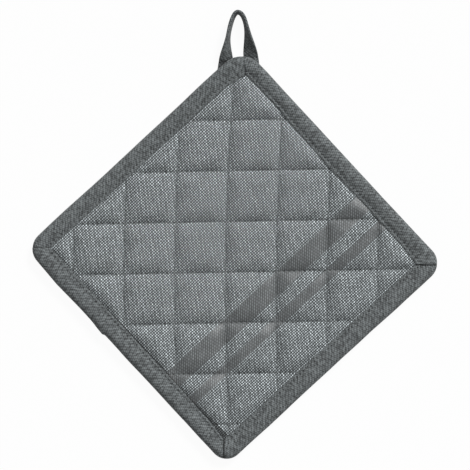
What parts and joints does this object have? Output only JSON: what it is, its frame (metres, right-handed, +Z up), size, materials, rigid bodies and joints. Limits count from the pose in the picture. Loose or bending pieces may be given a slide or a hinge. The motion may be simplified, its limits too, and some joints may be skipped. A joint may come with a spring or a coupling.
{
  "type": "pot holder",
  "caption": "Square quilted cloth pot holder with a bound edge, wadding inside and a hanging loop at one corner.",
  "frame": {"origin": "on the table, under the middle of the box round the pot holder and its loop as it lies face up", "axes": "+Z up through the face, +Y from the pad's centre to the corner with the hanging loop, +X to the right"},
  "size_m": [0.2866, 0.318, 0.0107],
  "materials": {
    "cloth": "two-tone bird's-eye weave with two plain twill stripes",
    "wadding": "soft cotton wadding",
    "tape": "plain cotton twill tape",
    "thread": "dull sewing thread"
  },
  "bodies": {
    "root": {"front_panel": "cloth", "back_panel": "cloth", "wadding": "wadding", "binding": "tape", "hanging_loop": "tape", "front_topstitch": "thread", "back_topstitch": "thread", "front_quilting_across_1": "thread", "front_quilting_across_2": "thread", "front_quilting_across_3": "thread", "front_quilting_across_4": "thread", "front_quilting_across_5": "thread", "front_quilting_across_6": "thread", "front_quilting_across_7": "thread", "front_quilting_down_1": "thread", "front_quilting_down_2": "thread", "front_quilting_down_3": "thread", "front_quilting_down_4": "thread", "front_quilting_down_5": "thread", "front_quilting_down_6": "thread", "front_quilting_down_7": "thread", "back_quilting_across_1": "thread", "back_quilting_across_2": "thread", "back_quilting_across_3": "thread", "back_quilting_across_4": "thread", "back_quilting_across_5": "thread", "back_quilting_across_6": "thread", "back_quilting_across_7": "thread", "back_quilting_down_1": "thread", "back_quilting_down_2": "thread", "back_quilting_down_3": "thread", "back_quilting_down_4": "thread", "back_quilting_down_5": "thread", "back_quilting_down_6": "thread", "back_quilting_down_7": "thread"}
  },
  "joints": []
}
